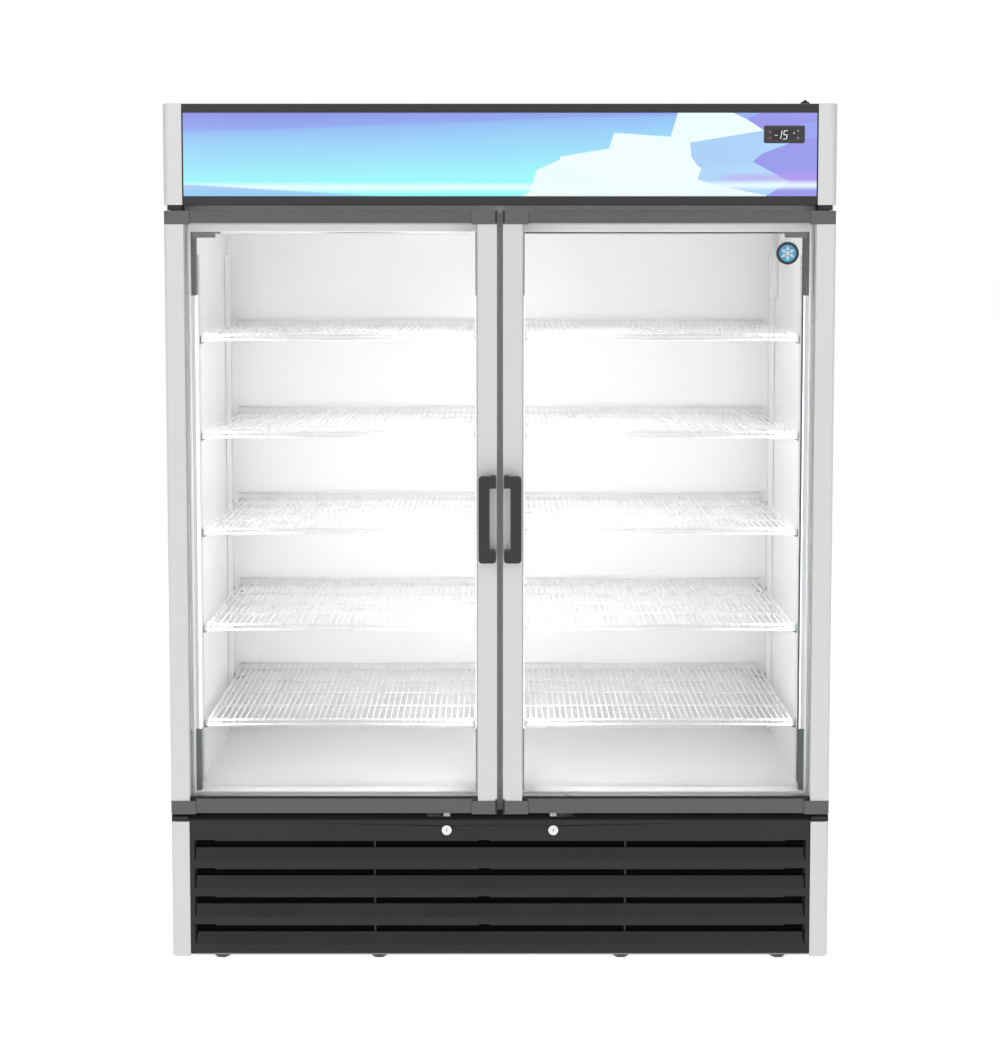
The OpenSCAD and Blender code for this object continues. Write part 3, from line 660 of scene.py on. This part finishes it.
def draw_wire(mesh, radius, start, heading, steps, sides=6):
    """Sweeps a disc along steps: runs (length,) and turns (axis, angle, bend radius)."""
    way = heading.normalized()
    at = Vector(start)
    place = Matrix.Translation(at) @ way.to_track_quat("Z", "Y").to_matrix().to_4x4()
    disc = bmesh.ops.create_circle(mesh, cap_ends=True, radius=radius, segments=sides, matrix=place)
    tip = disc["verts"][0].link_faces[0]
    for move in steps:
        if len(move) == 1:
            grown = bmesh.ops.extrude_face_region(mesh, geom=[tip])["geom"]
            bmesh.ops.translate(mesh, vec=way * move[0], verts=points(grown))
            at = at + way * move[0]
        else:
            axis, angle, bend = move
            middle = at + axis.cross(way) * math.copysign(bend, angle)
            grown = bmesh.ops.spin(mesh, geom=[tip], cent=middle, axis=axis, angle=angle,
                                   steps=3)["geom_last"]
            turn = Matrix.Rotation(angle, 3, axis)
            at, way = middle + turn @ (at - middle), turn @ way
        tip = next(g for g in grown if isinstance(g, bmesh.types.BMFace))
    walls_inside = [f for f in mesh.faces if all(len(e.link_faces) > 2 for e in f.edges)]
    bmesh.ops.delete(mesh, geom=walls_inside, context="FACES_ONLY")
    bmesh.ops.recalc_face_normals(mesh, faces=mesh.faces)


def smooth_walls(piece):
    """Shades the walls of round wires smoothly and leaves their flat ends alone."""
    for face in piece.data.polygons:
        face.use_smooth = len(face.vertices) < 5


# %% [markdown]
# ### Shelves
#
# A shelf is 45 wires of 3.2 mm welded across thicker rods. At the back the wires turn up as a
# low stop, and at the front they turn down into a lip with a rod along its foot. The CAD shelf
# is the same grid in square bars. One wire is swept, then copied across with the same pitch, so
# a whole shelf needs a single sweep. All ten shelves are copies of one mesh, moved or mirrored.

# %% One shelf
shelf_low, shelf_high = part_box("shelf_right_1")
wire_r, rod_r = 0.0016, 0.003
wire_z = shelf_high.z - wire_r
span, shelf_depth = shelf_high.x - shelf_low.x, shelf_high.y - shelf_low.y
back_stop, back_bend, lip_bend, lip_drop = 0.012, 0.004, 0.005, 0.0095
run = shelf_depth - 2 * wire_r - back_bend - lip_bend - 0.0015
wire_start = (shelf_low.x + rod_r, shelf_high.y - wire_r, wire_z + back_stop)
shelf_mesh = bmesh.new()
draw_wire(shelf_mesh, wire_r, wire_start, -Z, [
    (back_stop - back_bend,), (X, -RIGHT_ANGLE, back_bend), (run,), (X, RIGHT_ANGLE, lip_bend), (lip_drop,)])
first_wire = list(shelf_mesh.faces) + list(shelf_mesh.edges) + list(shelf_mesh.verts)
gaps = 44
pitch = (span - 2 * rod_r) / gaps
for count in range(1, gaps + 1):
    copy = bmesh.ops.duplicate(shelf_mesh, geom=first_wire)["geom"]
    bmesh.ops.translate(shelf_mesh, vec=X * pitch * count, verts=points(copy))
print("wires", gaps + 1, "pitch", round(pitch * 1000, 2), "mm")

# %% Rods under the wires
rod_z = shelf_high.z - 2 * wire_r - rod_r
rod_inset = 0.009
rods = [(shelf_low.y + rod_inset + t * (shelf_depth - 2 * rod_inset) / 4, rod_z, rod_r) for t in range(5)]
rods.append((shelf_low.y + rod_r + 0.0002, shelf_low.z + rod_r, rod_r))
rods.append((shelf_high.y - wire_r, wire_z + back_stop, 0.002))
for y, z, thick in rods:
    add_rod(shelf_mesh, (shelf_low.x + span / 2, y, z), "Y", thick, span)
for x in (shelf_low.x + rod_r, shelf_high.x - rod_r):
    middle_y = (shelf_low.y + shelf_high.y) / 2
    add_rod(shelf_mesh, (x, middle_y, rod_z - 0.0005), "X", rod_r, shelf_depth - 0.012)
print("one shelf has", len(shelf_mesh.faces), "faces")

# %% Ten shelves
wire_coating = wandering("wire_coating", light(236), 0.30, drift=0.03, broad=30, grain=500, relief=0.06)
for number in range(1, 6):
    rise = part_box(f"shelf_right_{number}")[1].z - shelf_high.z
    for side in ("left", "right"):
        copy = shelf_mesh.copy()
        if side == "left":
            mirror_left(copy)
        bmesh.ops.translate(copy, vec=Z * rise, verts=copy.verts)
        name = f"shelf_{side}_{number}"
        smooth_walls(add_piece(f"wire_{name}", copy, wire_coating, "cabinet", [name]))
shelf_mesh.free()

# %% [markdown]
# ### Slotted pilasters
#
# The shelves hang on upright channels with a slot every half inch. A slot could be cut out of
# a plate, but ninety-nine cuts make a heavy mesh. A grid is cheaper: three columns of cells,
# with every second cell of the middle column taken out. The outer edges are then pulled back
# to make the channel's sides, and the sheet gets its thickness last.

# %% Pilasters
def add_pilaster(mesh, centre, width, depth, outward, low_z, high_z):
    """A slotted channel whose face stands at centre and looks along outward."""
    rows = 2 * round((high_z - low_z) / 0.0127)
    sideways = Z.cross(outward)
    turn = Matrix((sideways, Z, outward)).transposed().to_4x4()
    grid = bmesh.ops.create_grid(mesh, x_segments=3, y_segments=rows, size=0.5)["verts"]
    slot_part = 0.34
    for vert in grid:
        if abs(vert.co.x) < 0.3:
            vert.co.x = math.copysign(slot_part / 2, vert.co.x)
    bmesh.ops.transform(mesh, matrix=Matrix.Translation(centre + Z * (high_z + low_z) / 2) @ turn
                        @ Matrix.Diagonal((width, high_z - low_z, 1, 1)), verts=grid)
    cells = list({f for vert in grid for f in vert.link_faces})

    def aside(point):
        """How far a point lies from the channel's middle line."""
        return abs((point - centre).dot(sideways))

    middle = sorted((f for f in cells if aside(f.calc_center_median()) < width * 0.1),
                    key=lambda f: f.calc_center_median().z)
    bmesh.ops.delete(mesh, geom=middle[1::2], context="FACES")
    rims = [e for vert in grid if vert.is_valid for e in vert.link_edges
            if e.is_boundary and all(abs(aside(v.co) - width / 2) < 1e-5 for v in e.verts)]
    sides = bmesh.ops.extrude_edge_only(mesh, edges=list(set(rims)))["geom"]
    bmesh.ops.translate(mesh, vec=-outward * depth, verts=points(sides))


pil_low, pil_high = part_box("pilasters")
mullion_low, mullion_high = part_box("mullion")
face_off, channel_depth = 0.014, 0.0128
wall_face = pil_high.x - face_off
wall_rows = (shelf_low.y + 0.0145, 0.2745)
ends = (pil_low.z, pil_high.z)
channels = bmesh.new()
for side in (-1, 1):
    for y in wall_rows:
        add_pilaster(channels, Vector((side * wall_face, y, 0)), 0.025, channel_depth, X * -side, *ends)
    for y, outward in ((mullion_high.y + face_off, Y), (pil_high.y - face_off, -Y)):
        add_pilaster(channels, Vector((side * 0.035, y, 0)), 0.014, channel_depth, outward, *ends)
pilaster_paint = wandering("pilaster_paint", light(232), 0.36, drift=0.02, grain=420,
                           relief=0.05, along=(1, 1, 0.3))
channel_piece = add_piece("slotted_pilasters", channels, pilaster_paint, "cabinet",
                          ["pilasters"])
wall = channel_piece.modifiers.new("sheet", "SOLIDIFY")
wall.thickness = 0.0012
wall.offset = -1.0

# %% [markdown]
# ### Shelf clips
#
# Each shelf corner sits on a small bent clip that hooks into a slot. It is a strip that runs
# down the wall, turns and rises under the shelf. A grid of four cells in a row is enough: its
# five columns are laid along the path of the bend, and solidify gives the strip its thickness.

# %% Clips
clip_metal = wandering("clip_metal", light(70), 0.42, drift=0.10, broad=60, grain=600,
                       relief=0.08, metal=0.3)
BEND = [(0.0, 0.0), (0.0, -0.0140), (0.0020, -0.0172), (0.0130, -0.0105), (0.0245, -0.0085)]


def add_clip(mesh, wall_point, inward, width):
    """A V of strip: down the wall, then up under the shelf. wall_point is its top on the wall."""
    across = Z.cross(inward)
    shape = bmesh.ops.create_grid(mesh, x_segments=4, y_segments=1, size=0.5)["verts"]
    columns = sorted({round(vert.co.x, 4) for vert in shape})
    for vert in shape:
        out, down = BEND[columns.index(round(vert.co.x, 4))]
        vert.co = Vector(wall_point) + inward * out + Z * down + across * vert.co.y * width
    strip = list({f for vert in shape for f in vert.link_faces})
    bmesh.ops.solidify(mesh, geom=strip, thickness=0.0016)


hooks = bmesh.new()
for number in range(1, 6):
    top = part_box(f"shelf_right_{number}")[1].z - 2 * wire_r - 2 * rod_r
    for side in (-1, 1):
        for y in wall_rows:
            add_clip(hooks, (side * (wall_face - 0.0015), y, top + 0.002), X * -side, 0.013)
        for y in (mullion_high.y + 0.0155, pil_high.y - 0.0155):
            add_clip(hooks, (side * 0.0355, y, top - 0.0005), X * side, 0.009)
bmesh.ops.recalc_face_normals(hooks, faces=hooks.faces)
add_piece("bent_shelf_clips", hooks, clip_metal, "cabinet", ["shelf_clips"])

# %% [markdown]
# ### Display
#
# The controller shows its temperature in a dark window: a minus sign, two leaning digits, a
# dot, two arrows and two faint lamps. A seven segment digit is seven short bars, and which of
# them glow is the only difference between digits. Each bar is made upright or lying, moved to
# its place in the digit, and the whole digit is then sheared to lean.

# %% Digits, arrows and lamps
panel_low, panel_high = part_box("display_housing")
centre_x = (panel_low.x + panel_high.x) / 2
centre_z = (panel_low.z + panel_high.z) / 2
glow_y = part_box("display_window")[0].y - 0.0002
SEGMENTS = {"1": "bc", "5": "afgcd", "-": "g"}


def add_digit(mesh, sign, x, z, tall, wide):
    """Seven segment bars around (x, z), leaning to the right."""
    thick, half_w, half_h = tall * 0.085, wide / 2, tall / 2
    places = {"a": (0, half_h, 1), "g": (0, 0, 1), "d": (0, -half_h, 1), "f": (-half_w, half_h / 2, 0),
              "b": (half_w, half_h / 2, 0), "e": (-half_w, -half_h / 2, 0), "c": (half_w, -half_h / 2, 0)}
    count = len(mesh.verts)
    for key in SEGMENTS[sign]:
        px, pz, lying = places[key]
        w, h = (wide - thick * 0.6, thick) if lying else (thick, half_h - thick * 0.35)
        add_bar(mesh, (px - w / 2, 0, pz - h / 2), (px + w / 2, 0.0003, pz + h / 2))
    mesh.verts.ensure_lookup_table()
    made = mesh.verts[count:]
    lean = Matrix.Identity(4)
    lean[0][2] = 0.16
    bmesh.ops.transform(mesh, matrix=Matrix.Translation((x, glow_y, z)) @ lean, verts=made)


digits = bmesh.new()
add_digit(digits, "-", centre_x - 0.0190, centre_z - 0.002, 0.014, 0.0070)
add_digit(digits, "1", centre_x - 0.0110, centre_z - 0.001, 0.019, 0.0080)
add_digit(digits, "5", centre_x + 0.0022, centre_z - 0.001, 0.019, 0.0080)
digit_glow = glowing("digit_glow", light(222, 226, 230), 0.62)
add_piece("display_digits", digits, digit_glow, "cabinet")


marks = bmesh.new()
add_rod(marks, (centre_x + 0.0215, glow_y, centre_z + 0.003), "X", 0.0014, 0.0003, sides=16)
add_piece("display_dot", marks, digit_glow, "cabinet")
lamps = bmesh.new()
for z in (0.0050, -0.0080):
    add_rod(lamps, (centre_x - 0.0330, panel_low.y, centre_z + z), "X", 0.0019, 0.0005, sides=20)
lamp_red = glowing("lamp_red", light(176, 112, 108), 0.35)
add_piece("display_lamps", lamps, lamp_red, "cabinet")

# %% Arrows on the buttons
arrow_white = wandering("arrow_white", light(215), 0.5, drift=0.03, grain=800, relief=0.05)
for way, turn in (("up", -RIGHT_ANGLE), ("down", RIGHT_ANGLE)):
    button_low, button_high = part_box(f"button_{way}")
    spot_x, spot_z = (button_low.x + button_high.x) / 2, (button_low.z + button_high.z) / 2
    arrow = bmesh.new()
    add_rod(arrow, (spot_x, button_low.y, spot_z), "X", 0.0020, 0.0004, sides=3, turn=turn)
    add_piece(f"{way}_arrow", arrow, arrow_white, f"button_{way}")

# %% Finishes of the display
display_black = wandering("display_black", light(50), 0.40, drift=0.08, grain=900, relief=0.08)
dress(display_black, "display_housing")
window_black = wandering("window_black", light(26), 0.14, drift=0.06, gloss_drift=0.04, grain=300,
                         relief=0.01)
dress(window_black, "display_window")
button_grey = wandering("button_grey", light(76), 0.5, drift=0.06, grain=900, relief=0.10)
dress(button_grey, "button_up", "button_down")

# %% [markdown]
# ### Seals round the glass
#
# The two panes of a door are held apart by a metal spacer, and a black rubber bead covers the
# edge of the unit where it meets the door frame. Both are thin frames: a rectangle is inset,
# its middle is taken out, and the ring that is left is pulled back into depth. inset_region
# leaves outer edges alone unless it is told to use the boundary.

# %% Spacers and beads
def add_ring(mesh, low, high, width, front, back):
    """A rectangular ring in the x-z plane between two corners, width wide, from front to back."""
    size = Matrix.Diagonal((high[0] - low[0], high[1] - low[1], 1, 1))
    place = facing_front((low[0] + high[0]) / 2, front, (low[1] + high[1]) / 2) @ size
    sheet = bmesh.ops.create_grid(mesh, x_segments=1, y_segments=1, size=0.5, matrix=place)["verts"]
    whole = sheet[0].link_faces[0]
    ring = bmesh.ops.inset_region(mesh, faces=[whole], thickness=width, use_boundary=True,
                                  use_even_offset=True)["faces"]
    bmesh.ops.delete(mesh, geom=[whole], context="FACES")
    grown = bmesh.ops.extrude_face_region(mesh, geom=ring, use_keep_orig=True)["geom"]
    bmesh.ops.translate(mesh, vec=(0, back - front, 0), verts=points(grown))
    bmesh.ops.recalc_face_normals(mesh, faces=mesh.faces)


glass_low, glass_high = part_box("door_right_glass")
stile_low, stile_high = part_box("door_right_stiles")
rail_low, rail_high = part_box("door_right_rails")
stile_width, foot_height, head_height, play = 0.045, 0.0345, 0.028, 0.0002
opening_low = (stile_low.x + stile_width, rail_low.z + foot_height)
opening_high = (stile_high.x - stile_width, rail_high.z - head_height)
pane, bead_depth = 0.0045, 0.0016
bead_rubber = wandering("bead_rubber", light(186), 0.55, drift=0.12, grain=500, relief=0.14)
spacer_metal = wandering("spacer_metal", light(176), 0.34, drift=0.05, grain=300, relief=0.06, metal=0.8)
low, high = [v + play for v in opening_low], [v - play for v in opening_high]
for side, name in SIDES:
    for kind, width, front, back, finish, slot in (
            ("glass_spacer", 0.0030, glass_low.y + pane, glass_high.y - pane, spacer_metal, "silver_trim"),
            ("glass_bead", 0.0028, glass_low.y - bead_depth, glass_low.y, bead_rubber, "gasket_rubber")):
        ring = bmesh.new()
        add_ring(ring, low, high, width, front, back)
        if side < 0:
            mirror_left(ring)
        add_piece(f"{kind}_{name}", ring, finish, f"door_{name}")

# %% [markdown]
# ### Inside the front of the cabinet
#
# Small things show behind the glass: a stepped plastic bracket in each outer top corner, thin black
# strips along the top and the outer side of the right opening only, and the temperature probe's
# tube, which hangs down the right wall and ends in a dome.

# %% Corner brackets
top_z = mullion_high.z
frame_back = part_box("face_frame")[1].y
brackets = bmesh.new()
for side in (-1, 1):
    for inner, outer, low, high in ((0.649, 0.715, 0.0050, 0.0004), (0.661, 0.712, 0.0140, 0.0050)):
        xs = sorted((side * inner, side * outer))
        add_bar(brackets, (xs[0], frame_back + 0.0002, top_z - low),
                (xs[1], frame_back + 0.0016, top_z - high), 0.0003)
        xs = sorted((side * (inner + 0.001), side * 0.7045))
        add_bar(brackets, (xs[0], frame_back + 0.0016, top_z - low + 0.0005),
                (xs[1], frame_back + 0.018, top_z - high), 0.0003)
bmesh.ops.recalc_face_normals(brackets, faces=brackets.faces)
add_piece("top_corner_brackets", brackets, housing_grey, "cabinet")

# %% Black strips round the right opening
# Near-black finish: painted shade on the caps where the doors meet and on the keyway shutters; on the strips
# round the right opening and at the foot of each glass it is plain black.
shade_and_strip_black = wandering("shade_and_strip_black", light(14), 0.5, drift=0.15, grain=600, relief=0.08)
opening_strips = bmesh.new()
add_bar(opening_strips, (mullion_high.x + 0.013, frame_back + 0.0002, top_z - 0.0045),
        (0.648, frame_back + 0.0030, top_z - 0.0006), 0.0004)
add_bar(opening_strips, (0.7025, frame_back + 0.0018, mullion_low.z + 0.020),
        (0.7058, frame_back + 0.012, top_z - 0.0145), 0.0004)
add_piece("right_opening_black_strips", opening_strips, shade_and_strip_black, "cabinet")

# %% Probe tube
probe = bmesh.new()
probe_x, probe_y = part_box("liner")[1].x - 0.036, 0.02
probe_r, probe_length, probe_top = 0.009, 0.150, top_z - 0.002
draw_wire(probe, probe_r, (probe_x, probe_y, probe_top), -Z, [(probe_length,)], sides=24)
probe_end = Matrix.Translation((probe_x, probe_y, probe_top - probe_length))
bmesh.ops.create_uvsphere(probe, u_segments=24, v_segments=12, radius=probe_r, matrix=probe_end)
probe_plastic = wandering("probe_plastic", light(214), 0.42, drift=0.03, grain=700, relief=0.06)
smooth_walls(add_piece("probe_tube", probe, probe_plastic, "cabinet"))

# %% [markdown]
# ### Dark strips of the doors
#
# A black strip lies along the foot of each glass. Where the two doors meet, the corner pieces have
# black end caps, which are painted shade: they stand in for the deep shadow in the gap. They are
# plain bars, placed from the rails and the corner pieces.

# %% Foot strips and painted shade caps
for side, name in SIDES:
    # A near-black strip between the foot of the glass and the bottom rail.
    foot_strip = bmesh.new()
    ends = sorted(side * x for x in (opening_low[0] + 0.0004, opening_high[0] - 0.0004))
    add_bar(foot_strip, (ends[0], glass_low.y - 0.0034, opening_low[1] + 0.0001),
            (ends[1], glass_low.y - 0.0016, opening_low[1] + 0.0052), 0.0004)
    add_piece(f"foot_black_strip_{name}", foot_strip, shade_and_strip_black, f"door_{name}")
    corner_low, corner_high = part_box(f"door_{name}_corners")
    meeting = min(abs(corner_low.x), abs(corner_high.x))
    ends = sorted(side * x for x in (meeting + 0.0003, meeting + 0.0046))
    # Painted shade: near-black caps standing in for the deep shadow in the gap between the doors.
    caps = bmesh.new()
    for low_z, high_z in ((rail_low.z, rail_low.z + 0.0335), (rail_high.z - 0.0275, rail_high.z)):
        add_bar(caps, (ends[0], corner_low.y - 0.0003, low_z + 0.0006),
                (ends[1], corner_low.y + 0.012, high_z - 0.0006), 0.0003)
    add_piece(f"gap_shade_caps_{name}", caps, shade_and_strip_black, f"door_{name}")

# %% [markdown]
# ### Keyways
#
# A wafer lock has a slot in its plug, closed by a small spring shutter just behind the face. The
# slot is cut in CAD, so only the shutter is added, and it turns with the plug. The shutter is
# near-black, which is painted shade: it makes the shallow slot look as dark as a deep keyway in
# shadow.

# %% Keyway shutters, near-black as painted shade
for name in ("left", "right"):
    plug_low, plug_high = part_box(f"lock_plug_{name}")
    key_x, key_z = (plug_low.x + plug_high.x) / 2, (plug_low.z + plug_high.z) / 2
    # The shutter is near-black: painted shade in the keyway.
    shutter = bmesh.new()
    add_bar(shutter, (key_x - 0.00078, plug_low.y + 0.0006, key_z - 0.0038),
            (key_x + 0.00078, plug_low.y + 0.0030, key_z + 0.0038))
    add_piece(f"keyway_shade_shutter_{name}", shutter, shade_and_strip_black, f"lock_{name}")

# %% [markdown]
# ### Black sheet behind the grille
#
# A near-black pleated sheet hangs behind the grille in three lengths, between the ribs of the
# panel. It is painted shade: it hides the machine room, so the slots look as black as deep
# shadow. A grid with every second row pushed back makes the pleats, and Solidify gives the sheet
# its thickness.

# %% Black sheet behind the grille, painted shade
cloth_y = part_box("grille")[0].y + 0.0135
cloth_low, cloth_high = 0.030, 0.290
pleats, pleat_depth = 36, 0.003
cloth = bmesh.new()
for left, right in ((-0.712, -0.2970), (-0.2895, 0.2895), (0.2970, 0.712)):
    place = facing_front((left + right) / 2, cloth_y, (cloth_low + cloth_high) / 2)
    size = Matrix.Diagonal((right - left, cloth_high - cloth_low, 1, 1))
    sheet = bmesh.ops.create_grid(cloth, x_segments=1, y_segments=pleats, size=0.5,
                                  matrix=place @ size)["verts"]
    rows = sorted({round(vert.co.z, 5) for vert in sheet})
    for vert in sheet:
        vert.co.y += pleat_depth * (rows.index(round(vert.co.z, 5)) % 2)
# Near-black and matt: painted shade that keeps the slots dark.
slot_shade_cloth = wandering("slot_shade_cloth", light(7), 0.95, drift=0.2, grain=700, relief=0.2, specular=0.1)
shade_sheet_piece = add_piece("pleated_shade_sheet", cloth, slot_shade_cloth, "cabinet")
felt = shade_sheet_piece.modifiers.new("felt", "SOLIDIFY")
felt.thickness = 0.0008
felt.offset = 0.0

# %% [markdown]
# ### Badge
#
# A small round badge sits on the right door's glass. It is a plain snowflake in a dark ring:
# a dark disc, a smaller blue disc in front of it, and six arms turned round the middle.

# %% Discs of the badge
badge_x, badge_z, badge_r = 0.659, 1.654, 0.026
badge_y = glass_low.y
badge = bmesh.new()
add_rod(badge, (badge_x, badge_y - 0.0006, badge_z), "X", badge_r, 0.0012, sides=64)
badge_dark = wandering("badge_dark", light(34, 40, 52), 0.3, drift=0.08, grain=500, relief=0.04)
add_piece("badge_ring", badge, badge_dark, "door_right")
field = bmesh.new()
add_rod(field, (badge_x, badge_y - 0.0014, badge_z), "X", badge_r * 0.74, 0.0006, sides=64)
badge_blue = wandering("badge_blue", light(74, 160, 196), 0.28, drift=0.30, broad=38, grain=500, relief=0.03)
add_piece("badge_field", field, badge_blue, "door_right")

# %% Snowflake
flake = bmesh.new()
flake_y, branch_angle = -0.0004, math.radians(50)
for arm in range(6):
    start = len(flake.verts)
    add_bar(flake, (-0.0010, flake_y, 0.001), (0.0010, 0.0, badge_r * 0.62))
    for reach, lift in ((0.0050, 0.0068), (0.0034, 0.0100)):
        for side in (-1, 1):
            count = len(flake.verts)
            add_bar(flake, (-0.0007, flake_y, 0), (0.0007, 0.0, reach))
            flake.verts.ensure_lookup_table()
            place = Matrix.Translation((0, 0, lift)) @ Matrix.Rotation(side * branch_angle, 4, "Y")
            bmesh.ops.transform(flake, matrix=place, verts=flake.verts[count:])
    flake.verts.ensure_lookup_table()
    turn = Matrix.Rotation(arm * math.radians(60), 3, "Y")
    bmesh.ops.rotate(flake, cent=(0, 0, 0), matrix=turn, verts=flake.verts[start:])
bmesh.ops.translate(flake, vec=(badge_x, badge_y - 0.0017, badge_z), verts=flake.verts)
flake_white = wandering("flake_white", light(244), 0.35, drift=0.02, grain=600, relief=0.03)
add_piece("badge_snowflake", flake, flake_white, "door_right")

# %% [markdown]
# ### Louvres at the back
#
# The slots in the back panel let warm air out of the machine room. On a pressed panel the metal
# above each slot is pushed inward as a blade. Each blade is one tilted strip, then solidified.

# %% Back blades
back_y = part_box("back_panel")[1].y
blades = bmesh.new()
lean_and_size = Matrix.Rotation(math.radians(-48), 4, "X") @ Matrix.Diagonal((0.300, 0.0125, 1, 1))
first_z, blade_pitch = 0.094, 0.026
for x in (-0.350, 0.350):
    for row in range(8):
        place = Matrix.Translation((x, back_y - 0.0055, first_z + row * blade_pitch))
        seed = bmesh.ops.create_grid(blades, x_segments=1, y_segments=1, size=0.5,
                                     matrix=place @ lean_and_size)["verts"]
        bmesh.ops.solidify(blades, geom=[seed[0].link_faces[0]], thickness=0.0008)
bmesh.ops.recalc_face_normals(blades, faces=blades.faces)
add_piece("back_louvre_blades", blades, cabinet_paint, "cabinet")

# %% [markdown]
# ## Sizes and finish
#
# The box of the visual model is printed, to set beside the CAD box printed at the start.
# The visual model has to stay in the CAD model's box.

# %% Sizes
low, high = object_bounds()
print("visual box", [round(v, 4) for v in low], [round(v, 4) for v in high])
